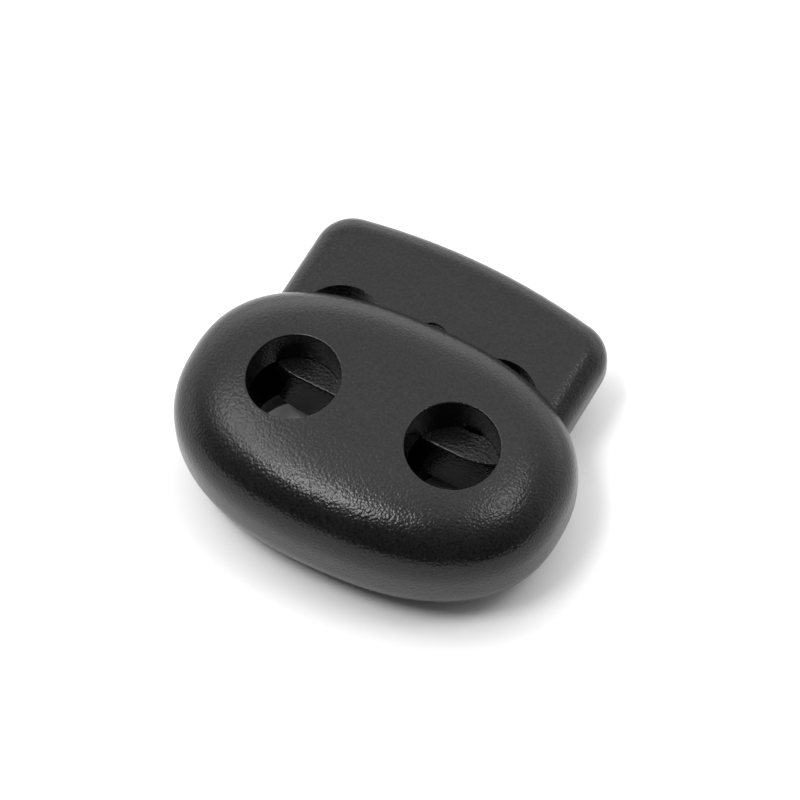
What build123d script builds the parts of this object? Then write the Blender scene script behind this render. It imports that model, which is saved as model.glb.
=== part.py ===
from build123d import *
import math
import os

os.makedirs("parts", exist_ok=True)

# Two-hole cord lock: a flat oval shell, a spring-loaded slide with two matching holes, and a compression spring.
# Frame: +X along the line of the cord holes, +Y out of the open end, +Z up.
# The origin is midway between the two cord holes, on the face the lock rests on. Millimetres.

# ---- driving dimensions ----
# shell
shell_half_length = 12.50     # X, at mid height
shell_front_depth = 8.37      # from the widest line to the closed end
shell_rear_depth = 7.93       # from the widest line to the open end
shell_centre_y = 0.10         # the widest line
shell_front_n = 2.35          # roundness of the plan, closed end
shell_rear_n = 2.43           # roundness of the plan, open end
shell_height = 8.91           # overall thickness
shell_rho_p = 4.06            # fullness of the side profile
shell_z_q = 2.80
flat_share = 0.17             # size of the small flats on the crown, as a share of the plan
# cord holes
hole_pitch = 10.546
hole_r = 2.84
hole_rim_r = 0.10
# slide cavity
cavity_floor_z = 1.83
cavity_ceiling_z = 6.01
cavity_half_width = 10.15
cavity_corner_r = 1.6
cavity_front_depth = 6.40
cavity_front_n = 3.0
# side recesses that hold the catches
recess_half_width = 10.85
recess_rear_y = 3.56
recess_front_y = -3.3
recess_toe_y = -4.9
recess_half_height = 1.45
# slide (plunger)
slide_top_z = 5.91
slide_bottom_z = 1.94
slide_half_width = 9.88
slide_rear_y = 13.97
slide_rear_bow_r = 40.9
slide_corner_r = 2.42
slide_edge_r = 1.70
slide_hole_y = 5.545
slide_hole_r = 2.677
slide_hole_pitch = 10.526
nose_y = 1.097
nose_straight_half = 5.60
nose_corner_r = 4.28
nose_half_width = 8.60
nose_edge_r = 0.14
nose_draft_deg = 2.1          # the pinching face leans forward towards the bottom
head_front_y = 4.60
mark_y, mark_r, mark_depth = 7.33, 1.04, 0.20   # ejector-pin dimple
catch_out_x = 10.50
catch_rear_y = 3.05
catch_half_height = 1.20
slide_cock_deg = -2.46        # the slide's resting twist within its play
slide_pivot_y = 6.30          # where the twist leaves the slide centred
slide_mid_z = (slide_top_z + slide_bottom_z) / 2
slide_thick = slide_top_z - slide_bottom_z
# spring
spring_od = 2.70
wire_d = 0.40
pocket_r = 1.55
pocket_end_y = 5.90
peg_r = 0.80
peg_length = 2.2
cavity_front_y = shell_centre_y - cavity_front_depth


def oval(scale, count=72):
    """Points round the shell's plan at a share of its full size, evenly spread along it."""
    dense = []
    for i in range(2400):
        t = 2 * math.pi * (i / 2400 + 0.25)
        c, s = math.cos(t), math.sin(t)
        n = shell_rear_n if s >= 0 else shell_front_n
        b = shell_rear_depth if s >= 0 else shell_front_depth
        dense.append(
            (
                shell_half_length * math.copysign(abs(c) ** (2 / n), c),
                b * math.copysign(abs(s) ** (2 / n), s),
            )
        )
    along = [0.0]
    for p, q in zip(dense, dense[1:] + dense[:1]):
        along.append(along[-1] + math.dist(p, q))
    out, j = [], 0
    for i in range(count):
        want = along[-1] * i / count
        while along[j + 1] < want:
            j += 1
        p, q = dense[j % 2400], dense[(j + 1) % 2400]
        f = (want - along[j]) / max(1e-12, along[j + 1] - along[j])
        out.append(
            (
                scale * (p[0] + f * (q[0] - p[0])),
                shell_centre_y + scale * (p[1] + f * (q[1] - p[1])),
            )
        )
    return out


def levels(steps=22):
    """(height above mid, share of the full plan) up the side profile, evenly spread along it."""
    half = shell_height / 2
    top = math.acos(flat_share ** (shell_rho_p / 2))
    dense, along = [], [0.0]
    for i in range(4001):
        a = -top + 2 * top * i / 4000
        z = half * math.copysign(abs(math.sin(a)) ** (2 / shell_z_q), a) if a else 0.0
        dense.append((z, math.cos(a) ** (2 / shell_rho_p)))
    for p, q in zip(dense, dense[1:]):
        along.append(along[-1] + math.hypot(q[0] - p[0], shell_front_depth * (q[1] - p[1])))
    out, j = [], 0
    for i in range(steps + 1):
        want = along[-1] * i / steps
        while j < 3999 and along[j + 1] < want:
            j += 1
        f = (want - along[j]) / (along[j + 1] - along[j])
        p, q = dense[j], dense[j + 1]
        out.append((p[0] + f * (q[0] - p[0]), p[1] + f * (q[1] - p[1])))
    return out


mid_z = levels()[-1][0]       # mid height, with the lower flat at z = 0

# ---- housing: the moulded shell ----
with BuildPart() as housing:
    for z, share in levels():
        with BuildSketch(Plane.XY.offset(mid_z + z)):
            with BuildLine():
                Spline(*oval(share), periodic=True)
            make_face()
    loft()
    # the slide's slot: rounded where it opens at the rear, following the shell's front inside
    with BuildSketch(
        Plane(origin=(0, shell_centre_y, (cavity_floor_z + cavity_ceiling_z) / 2), x_dir=(1, 0, 0), z_dir=(0, -1, 0))
    ):
        RectangleRounded(2 * cavity_half_width, cavity_ceiling_z - cavity_floor_z, cavity_corner_r)
    extrude(amount=-12.0, mode=Mode.SUBTRACT)
    front = []
    for i in range(25):
        t = math.pi * i / 24
        c, s = math.cos(t), math.sin(t)
        front.append(
            (
                cavity_half_width * math.copysign(abs(c) ** (2 / cavity_front_n), c),
                shell_centre_y - cavity_front_depth * abs(s) ** (2 / cavity_front_n),
            )
        )
    with BuildSketch(Plane.XY.offset(cavity_floor_z)):
        with BuildLine():
            Spline(*front)
            Line(front[-1], (front[-1][0], shell_centre_y + 0.8))
            Line((front[-1][0], shell_centre_y + 0.8), (front[0][0], shell_centre_y + 0.8))
            Line((front[0][0], shell_centre_y + 0.8), front[0])
        make_face()
    extrude(amount=cavity_ceiling_z - cavity_floor_z, mode=Mode.SUBTRACT)
    # recesses in the side walls for the catches
    with BuildSketch(Plane.XY.offset(slide_mid_z - recess_half_height)):
        for side in (1, -1):
            with BuildLine():
                Polyline(
                    (side * 8.0, recess_rear_y),
                    (side * recess_half_width, recess_rear_y),
                    (side * recess_half_width, recess_front_y),
                    (side * 9.6, recess_toe_y),
                    (side * 8.0, recess_toe_y),
                    close=True,
                )
            make_face()
    extrude(amount=2 * recess_half_height, mode=Mode.SUBTRACT)
    # the cord holes, through top and bottom
    with Locations((-hole_pitch / 2, 0, mid_z), (hole_pitch / 2, 0, mid_z)):
        Cylinder(hole_r, 2 * shell_height, mode=Mode.SUBTRACT)
    # the spring's locating peg on the closed end
    with BuildSketch(
        Plane(origin=(0, cavity_front_y - 0.4, slide_mid_z), x_dir=(1, 0, 0), z_dir=(0, 1, 0))
    ):
        Circle(peg_r)
    extrude(amount=peg_length + 0.4)
    rims = [
        e
        for e in housing.edges()
        if abs(e.length - 2 * math.pi * hole_r) < 0.9
        and (e.center().Z > cavity_ceiling_z + 0.5 or e.center().Z < cavity_floor_z - 0.5)
    ]
    fillet(rims, hole_rim_r)
housing.part.label = "housing"

# ---- plunger: the slide with its two holes ----
placed = Location((0, slide_pivot_y, 0), (0, 0, slide_cock_deg)) * Location((0, -slide_pivot_y, 0))
with BuildPart() as straight_plunger:
    # head: bowed rear, parallel sides
    with BuildSketch(Plane.XY.offset(slide_bottom_z)):
        with BuildLine():
            side_end_y = slide_rear_y - slide_rear_bow_r + math.sqrt(slide_rear_bow_r**2 - slide_half_width**2)
            Line((-slide_half_width, side_end_y), (-slide_half_width, head_front_y))
            Line((-slide_half_width, head_front_y), (slide_half_width, head_front_y))
            Line((slide_half_width, head_front_y), (slide_half_width, side_end_y))
            ThreePointArc(
                (slide_half_width, side_end_y), (0, slide_rear_y), (-slide_half_width, side_end_y)
            )
        make_face()
    extrude(amount=slide_thick)
    fillet(
        straight_plunger.edges().filter_by(Axis.Z).group_by(Axis.Y)[-1],
        slide_corner_r,
    )
    round_these = [
        e
        for e in straight_plunger.edges()
        if abs(e.center().Z - slide_mid_z) > 1.0 and e.center().Y > head_front_y + 0.1
    ]
    fillet(round_these, slide_edge_r)
    # nose: straight pinching edge with rounded corners
    with BuildSketch(Plane.XY.offset(slide_bottom_z)):
        lean = slide_thick * math.tan(math.radians(nose_draft_deg))
        nose_low_y = nose_y - lean
        cy = nose_low_y + nose_corner_r
        end_y = cy - math.sqrt(nose_corner_r**2 - (nose_half_width - nose_straight_half) ** 2)
        a = math.atan2(end_y - cy, nose_half_width - nose_straight_half)
        m = (-math.pi / 2 + a) / 2
        mid = (nose_straight_half + nose_corner_r * math.cos(m), cy + nose_corner_r * math.sin(m))
        with BuildLine():
            Line((-nose_straight_half, nose_low_y), (nose_straight_half, nose_low_y))
            ThreePointArc((nose_straight_half, nose_low_y), mid, (nose_half_width, end_y))
            Line((nose_half_width, end_y), (nose_half_width, head_front_y + 0.6))
            Line((nose_half_width, head_front_y + 0.6), (-nose_half_width, head_front_y + 0.6))
            Line((-nose_half_width, head_front_y + 0.6), (-nose_half_width, end_y))
            ThreePointArc((-nose_half_width, end_y), (-mid[0], mid[1]), (-nose_straight_half, nose_low_y))
        make_face()
    extrude(amount=slide_thick, taper=nose_draft_deg)
    nose_edges = [
        e
        for e in straight_plunger.edges()
        if abs(e.center().Z - slide_mid_z) > slide_thick / 2 - 0.01 and e.center().Y < end_y + 0.3
    ]
    fillet(nose_edges, nose_edge_r)
    # catches on both sides
    with BuildSketch(Plane.XY.offset(slide_mid_z - catch_half_height)):
        for side in (1, -1):
            with BuildLine():
                Polyline(
                    (side * 8.2, catch_rear_y),
                    (side * catch_out_x, catch_rear_y),
                    (side * catch_out_x, catch_rear_y - 0.5),
                    (side * 9.0, 2.0),
                    (side * 8.2, 2.3),
                    close=True,
                )
            make_face()
    extrude(amount=2 * catch_half_height)
    # cord holes
    with Locations(
        (-slide_hole_pitch / 2, slide_hole_y, slide_mid_z), (slide_hole_pitch / 2, slide_hole_y, slide_mid_z)
    ):
        Cylinder(slide_hole_r, 3 * slide_thick, mode=Mode.SUBTRACT)
    # spring pocket from the nose
    with BuildSketch(
        Plane(origin=(0, nose_y - 1, slide_mid_z), x_dir=(1, 0, 0), z_dir=(0, 1, 0))
    ):
        Circle(pocket_r)
    extrude(amount=pocket_end_y - nose_y + 1, mode=Mode.SUBTRACT)
    # ejector-pin dimple on the top
    with Locations((0, mark_y, slide_top_z)):
        Cylinder(mark_r, 2 * mark_depth, mode=Mode.SUBTRACT)

with BuildPart() as plunger:
    add(straight_plunger.part.moved(placed))
plunger.part.label = "plunger"

# ---- spring: compression coil between the closed end and the slide's pocket ----
spring_start_y = cavity_front_y + wire_d / 2 + 0.06
spring_end_y = pocket_end_y - wire_d / 2 - 0.06
coils = 9
with BuildPart() as spring:
    with BuildLine() as coil:
        Helix(
            pitch=(spring_end_y - spring_start_y) / coils,
            height=spring_end_y - spring_start_y,
            radius=(spring_od - wire_d) / 2,
            center=(0, spring_start_y, slide_mid_z),
            direction=(0, 1, 0),
        )
    with BuildSketch(Plane(origin=coil.line @ 0, z_dir=coil.line % 0)):
        Circle(wire_d / 2)
    sweep(path=coil.line, is_frenet=True)
spring.part.label = "spring"

export_step(housing.part, "parts/housing.step")
export_step(plunger.part, "parts/plunger.step")
export_step(spring.part, "parts/spring.step")
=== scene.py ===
import math

import bmesh
import bpy
import numpy as np
from mathutils import Matrix, Vector


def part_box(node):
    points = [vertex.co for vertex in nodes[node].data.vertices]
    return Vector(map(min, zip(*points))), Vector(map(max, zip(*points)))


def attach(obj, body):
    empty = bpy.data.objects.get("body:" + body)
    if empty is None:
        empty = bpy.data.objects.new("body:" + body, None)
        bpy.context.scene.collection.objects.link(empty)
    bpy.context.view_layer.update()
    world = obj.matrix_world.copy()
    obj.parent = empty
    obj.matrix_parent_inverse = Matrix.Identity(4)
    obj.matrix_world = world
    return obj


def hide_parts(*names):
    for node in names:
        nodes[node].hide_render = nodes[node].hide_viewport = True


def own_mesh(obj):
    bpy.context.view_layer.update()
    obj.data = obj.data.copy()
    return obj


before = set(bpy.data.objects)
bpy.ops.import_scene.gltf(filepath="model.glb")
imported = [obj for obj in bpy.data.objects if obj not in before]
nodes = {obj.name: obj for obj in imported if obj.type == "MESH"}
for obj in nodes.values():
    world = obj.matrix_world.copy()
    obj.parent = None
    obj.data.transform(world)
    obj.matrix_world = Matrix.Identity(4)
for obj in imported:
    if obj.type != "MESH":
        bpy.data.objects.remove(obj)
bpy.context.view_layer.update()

scene = bpy.context.scene
scene.view_settings.view_transform = "Standard"
scene.view_settings.look = "None"
MM = 0.001

# ---------------------------------------------------------------- sizes shared with the frame (mm)
HALF_LEN, FRONT, REAR, CY = 12.50, 8.37, 7.93, 0.10
N_FRONT, N_REAR = 2.35, 2.43
RHO_P, Z_Q, HEIGHT = 4.06, 2.80, 8.91
hb_lo, hb_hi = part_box("housing")
MID = (hb_lo[2] + hb_hi[2]) / 2 * 1000

# ---------------------------------------------------------------- camera
AZ, EL, ROLL = math.radians(29.922), math.radians(61.577), math.radians(-3.245)
K = 1.0248
DIST, S_PX, OX, OY = 300.003, 17.151, 374.683, 445.318
back = Vector((math.sin(AZ) * math.cos(EL), -math.cos(AZ) * math.cos(EL), math.sin(EL)))
right = Vector((math.cos(AZ), math.sin(AZ), 0.0))
up = back.cross(right)
r2 = right * math.cos(ROLL) + up * math.sin(ROLL)
u2 = -right * math.sin(ROLL) + up * math.cos(ROLL)
tx, ty = (OX - 400) / S_PX, -(OY - 400) / S_PX
eye = (r2 * (-tx) + u2 * (-ty) + back * DIST) * K * MM + Vector((0, 0, MID * MM))
cam_data = bpy.data.cameras.new("camera")
cam_data.sensor_width = 36.0
cam_data.lens = S_PX * DIST * 36.0 / 800.0
cam_data.clip_start = 0.01
cam = bpy.data.objects.new("camera", cam_data)
scene.collection.objects.link(cam)
cam.matrix_world = Matrix(
    (
        (r2.x, u2.x, back.x, eye.x),
        (r2.y, u2.y, back.y, eye.y),
        (r2.z, u2.z, back.z, eye.z),
        (0, 0, 0, 1),
    )
)
scene.camera = cam


# ---------------------------------------------------------------- materials
def node(nt, kind, **sets):
    n = nt.nodes.new(kind)
    for k, v in sets.items():
        setattr(n, k, v)
    return n


def moulded_plastic(name, base, rough, gloss, grain_mm=0.155, grain_um=16.0, seed=0.0):
    """Black moulded plastic with a fine spark-eroded grain: pebbles, pits between them and a slow drift in sheen."""
    m = bpy.data.materials.new(name)
    m.use_nodes = True
    nt = m.node_tree
    nt.nodes.clear()
    out = node(nt, "ShaderNodeOutputMaterial")
    bsdf = node(nt, "ShaderNodeBsdfPrincipled")
    nt.links.new(bsdf.outputs["BSDF"], out.inputs["Surface"])
    co = node(nt, "ShaderNodeTexCoord")
    shift = node(nt, "ShaderNodeVectorMath", operation="ADD")
    shift.inputs[1].default_value = (seed, seed * 0.7, seed * 1.3)
    nt.links.new(co.outputs["Object"], shift.inputs[0])
    fine = node(nt, "ShaderNodeTexNoise")
    fine.inputs["Scale"].default_value = 1000.0 / grain_mm
    fine.inputs["Detail"].default_value = 1.2
    fine.inputs["Roughness"].default_value = 0.5
    pebble = node(nt, "ShaderNodeTexVoronoi", feature="SMOOTH_F1")
    pebble.inputs["Scale"].default_value = 1000.0 / (grain_mm * 1.1)
    pebble.inputs["Smoothness"].default_value = 0.45
    broad = node(nt, "ShaderNodeTexNoise")
    broad.inputs["Scale"].default_value = 1000.0 / 2.4
    broad.inputs["Detail"].default_value = 2.0
    for t in (fine, pebble, broad):
        nt.links.new(shift.outputs[0], t.inputs["Vector"])
    height = node(nt, "ShaderNodeMath", operation="MULTIPLY_ADD")
    height.inputs[1].default_value = -0.8
    nt.links.new(pebble.outputs["Distance"], height.inputs[0])
    nt.links.new(fine.outputs["Fac"], height.inputs[2])
    bump = node(nt, "ShaderNodeBump")
    bump.inputs["Strength"].default_value = 1.0
    bump.inputs["Distance"].default_value = grain_um * 1e-6
    nt.links.new(height.outputs[0], bump.inputs["Height"])
    nt.links.new(bump.outputs["Normal"], bsdf.inputs["Normal"])
    tone = node(nt, "ShaderNodeMixRGB")
    tone.inputs[1].default_value = tuple(c * 0.85 for c in base) + (1,)
    tone.inputs[2].default_value = tuple(c * 1.2 for c in base) + (1,)
    nt.links.new(broad.outputs["Fac"], tone.inputs[0])
    # painted shade: the pits between the pebbles are painted darker than the pebbles' tops, as shade falls in them
    pit_shade = node(nt, "ShaderNodeMapRange")
    pit_shade.inputs["From Min"].default_value = -0.25
    pit_shade.inputs["From Max"].default_value = 0.35
    pit_shade.inputs["To Min"].default_value = 0.62
    pit_shade.inputs["To Max"].default_value = 1.40
    nt.links.new(height.outputs[0], pit_shade.inputs["Value"])
    tone_with_pit_shade = node(nt, "ShaderNodeVectorMath", operation="SCALE")
    nt.links.new(tone.outputs[0], tone_with_pit_shade.inputs[0])
    nt.links.new(pit_shade.outputs[0], tone_with_pit_shade.inputs["Scale"])
    # the base colour carries the painted shade in the pits
    nt.links.new(tone_with_pit_shade.outputs[0], bsdf.inputs["Base Color"])
    rr = node(nt, "ShaderNodeMapRange")
    rr.inputs["From Min"].default_value = 0.3
    rr.inputs["From Max"].default_value = 0.7
    rr.inputs["To Min"].default_value = rough - 0.03
    rr.inputs["To Max"].default_value = rough + 0.03
    nt.links.new(broad.outputs["Fac"], rr.inputs["Value"])
    # the pits are duller than the pebbles' tops
    pit = node(nt, "ShaderNodeMapRange")
    pit.inputs["From Min"].default_value = -0.25
    pit.inputs["From Max"].default_value = 0.35
    pit.inputs["To Min"].default_value = 0.03
    pit.inputs["To Max"].default_value = -0.03
    nt.links.new(height.outputs[0], pit.inputs["Value"])
    dull = node(nt, "ShaderNodeMath", operation="ADD")
    nt.links.new(rr.outputs[0], dull.inputs[0])
    nt.links.new(pit.outputs[0], dull.inputs[1])
    nt.links.new(dull.outputs[0], bsdf.inputs["Roughness"])
    bsdf.inputs["Specular IOR Level"].default_value = gloss
    bsdf.inputs["IOR"].default_value = 1.5
    return m


def spring_steel(name):
    m = bpy.data.materials.new(name)
    m.use_nodes = True
    nt = m.node_tree
    nt.nodes.clear()
    out = node(nt, "ShaderNodeOutputMaterial")
    bsdf = node(nt, "ShaderNodeBsdfPrincipled")
    nt.links.new(bsdf.outputs["BSDF"], out.inputs["Surface"])
    co = node(nt, "ShaderNodeTexCoord")
    n1 = node(nt, "ShaderNodeTexNoise")
    n1.inputs["Scale"].default_value = 4000.0
    n1.inputs["Detail"].default_value = 3.0
    nt.links.new(co.outputs["Object"], n1.inputs["Vector"])
    ramp = node(nt, "ShaderNodeMapRange")
    ramp.inputs["To Min"].default_value = 0.25
    ramp.inputs["To Max"].default_value = 0.42
    nt.links.new(n1.outputs["Fac"], ramp.inputs["Value"])
    nt.links.new(ramp.outputs[0], bsdf.inputs["Roughness"])
    tone = node(nt, "ShaderNodeMixRGB")
    tone.inputs[1].default_value = (0.42, 0.42, 0.43, 1)
    tone.inputs[2].default_value = (0.58, 0.58, 0.59, 1)
    nt.links.new(n1.outputs["Fac"], tone.inputs[0])
    nt.links.new(tone.outputs[0], bsdf.inputs["Base Color"])
    bsdf.inputs["Metallic"].default_value = 1.0
    bump = node(nt, "ShaderNodeBump")
    bump.inputs["Distance"].default_value = 2e-6
    nt.links.new(n1.outputs["Fac"], bump.inputs["Height"])
    nt.links.new(bump.outputs["Normal"], bsdf.inputs["Normal"])
    return m


shell_mat = moulded_plastic("housing_plastic", (0.0078, 0.0078, 0.0079), 0.20, 0.245)
slide_mat = moulded_plastic("plunger_plastic", (0.0078, 0.0078, 0.0079), 0.20, 0.245, seed=3.1)
steel = spring_steel("spring_steel")
for n, m in (("housing", shell_mat), ("plunger", slide_mat), ("spring", steel)):
    me = nodes[n].data
    me.materials.clear()
    me.materials.append(m)

# ---------------------------------------------------------------- spring: a drawn wire coil with closed ends
sb_lo, sb_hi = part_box("spring")
WIRE = 0.20  # half the wire's thickness
PLAY = 0.06  # the pocket sits askew with the slide, so the coil is a little slimmer than its box
COIL_R = (sb_hi[0] - sb_lo[0]) / 2 * 1000 - WIRE - PLAY
COIL_X = (sb_lo[0] + sb_hi[0]) / 2 * 1000
COIL_Z = (sb_lo[2] + sb_hi[2]) / 2 * 1000
Y0, Y1 = sb_lo[1] * 1000 + WIRE, sb_hi[1] * 1000 - WIRE
TURNS, DEAD = 9.4, 1.15
CLOSE = 2 * WIRE * 1.03  # rise per turn where the end coils lie together
live = (Y1 - Y0 - 2 * DEAD * CLOSE) / (TURNS - 2 * DEAD)


def rise(t):
    """Height along the coil after t turns: closed at both ends, with an eased change of pitch."""
    y, n = 0.0, 400
    ease = 0.25
    for i in range(n):
        u = t * (i + 0.5) / n
        e = min(u, TURNS - u)
        w = min(1.0, max(0.0, (e - DEAD + ease) / (2 * ease)))
        w = w * w * (3 - 2 * w)
        y += (CLOSE + (live - CLOSE) * w) * t / n
    return y


STEPS, SIDES = 40, 14
count = int(TURNS * STEPS) + 1
ts = [TURNS * i / (count - 1) for i in range(count)]
heights = [rise(t) for t in ts]
scale_y = (Y1 - Y0) / heights[-1]
path = []
for t, h in zip(ts, heights):
    a = 2 * math.pi * t
    path.append(Vector((COIL_X + COIL_R * math.cos(a), Y0 + h * scale_y, COIL_Z - COIL_R * math.sin(a))))
verts, faces = [], []
for i, p in enumerate(path):
    tangent = (path[min(i + 1, count - 1)] - path[max(i - 1, 0)]).normalized()
    out = Vector((p.x - COIL_X, 0, p.z - COIL_Z)).normalized()
    side = tangent.cross(out).normalized()
    out = side.cross(tangent).normalized()
    for k in range(SIDES):
        b = 2 * math.pi * k / SIDES
        verts.append((p + (out * math.cos(b) + side * math.sin(b)) * WIRE) * MM)
for i in range(count - 1):
    for k in range(SIDES):
        a, b = i * SIDES + k, i * SIDES + (k + 1) % SIDES
        faces.append((a, b, b + SIDES, a + SIDES))
# the wire's cut ends, slightly domed
for i, way in ((0, -1), (count - 1, 1)):
    tip = path[i] + (path[min(i + 1, count - 1)] - path[max(i - 1, 0)]).normalized() * way * 0.03
    verts.append(tip * MM)
    c = len(verts) - 1
    for k in range(SIDES):
        a, b = i * SIDES + k, i * SIDES + (k + 1) % SIDES
        faces.append((a, c, b) if way < 0 else (a, b, c))
cme = bpy.data.meshes.new("coil_spring")
cme.from_pydata([tuple(v) for v in verts], [], faces)
cme.validate()
cbm = bmesh.new()
cbm.from_mesh(cme)
bmesh.ops.recalc_face_normals(cbm, faces=cbm.faces)
cbm.to_mesh(cme)
cbm.free()
for f in cme.polygons:
    f.use_smooth = len(f.vertices) == 4
cme.materials.append(steel)
coil = bpy.data.objects.new("coil_spring", cme)
scene.collection.objects.link(coil)
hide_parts("spring")
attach(coil, "housing")
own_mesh(coil)

# ---------------------------------------------------------------- floor and light
fb = bmesh.new()
bmesh.ops.create_grid(fb, x_segments=8, y_segments=8, size=1.5)
fme = bpy.data.meshes.new("floor")
fb.to_mesh(fme)
fb.free()
floor = bpy.data.objects.new("floor", fme)
scene.collection.objects.link(floor)
fmat = bpy.data.materials.new("floor_paper")
fmat.use_nodes = True
fbsdf = fmat.node_tree.nodes["Principled BSDF"]
fbsdf.inputs["Base Color"].default_value = (0.92, 0.92, 0.92, 1)
fbsdf.inputs["Roughness"].default_value = 0.9
fbsdf.inputs["Specular IOR Level"].default_value = 0.1
fme.materials.append(fmat)

world = bpy.data.worlds.new("studio")
scene.world = world
world.use_nodes = True
wt = world.node_tree
wbg = wt.nodes["Background"]
wco = node(wt, "ShaderNodeTexCoord")
# broad soft glows: (brightness, direction, tightness)
GLOWS = (
    (8.00, (-0.511, 0.015, 0.859), 38.5),
    (2.66, (-0.630, 0.775, 0.050), 3.88),
    (1.86, (0.043, 0.366, 0.930), 9.34),
    (1.84, (-0.982, -0.183, 0.050), 21.3),
    (2.08, (0.498, 0.866, 0.050), 4.54),
)
total = None
for bright, direction, tight in GLOWS:
    dot = node(wt, "ShaderNodeVectorMath", operation="DOT_PRODUCT")
    dot.inputs[1].default_value = Vector(direction).normalized()
    wt.links.new(wco.outputs["Generated"], dot.inputs[0])
    sc1 = node(wt, "ShaderNodeMath", operation="MULTIPLY_ADD")
    sc1.inputs[1].default_value = tight
    sc1.inputs[2].default_value = -tight
    wt.links.new(dot.outputs["Value"], sc1.inputs[0])
    ex = node(wt, "ShaderNodeMath", operation="EXPONENT")
    wt.links.new(sc1.outputs[0], ex.inputs[0])
    acc = node(wt, "ShaderNodeMath", operation="MULTIPLY_ADD")
    acc.inputs[1].default_value = bright
    wt.links.new(ex.outputs[0], acc.inputs[0])
    if total is None:
        acc.inputs[2].default_value = 0.0
    else:
        wt.links.new(total.outputs[0], acc.inputs[2])
    total = acc
wt.links.new(total.outputs[0], wbg.inputs["Strength"])
wbg.inputs["Color"].default_value = (1, 1, 1, 1)


def softbox(name, direction, dist, radius, radiance, colour=(1, 1, 1)):
    d = bpy.data.lights.new(name, "AREA")
    d.shape = "DISK"
    d.size = 2 * radius
    d.energy = radiance * math.pi * radius**2 * math.pi
    d.color = colour
    o = bpy.data.objects.new(name, d)
    scene.collection.objects.link(o)
    v = Vector(direction).normalized()
    o.location = v * dist
    o.rotation_euler = v.to_track_quat("Z", "Y").to_euler()
    return o


softbox("key", (-0.245, -0.243, 0.939), 0.7, 0.104, 16.1)
softbox("fill", (0.384, 0.221, 0.897), 0.7, 0.104, 7.14)
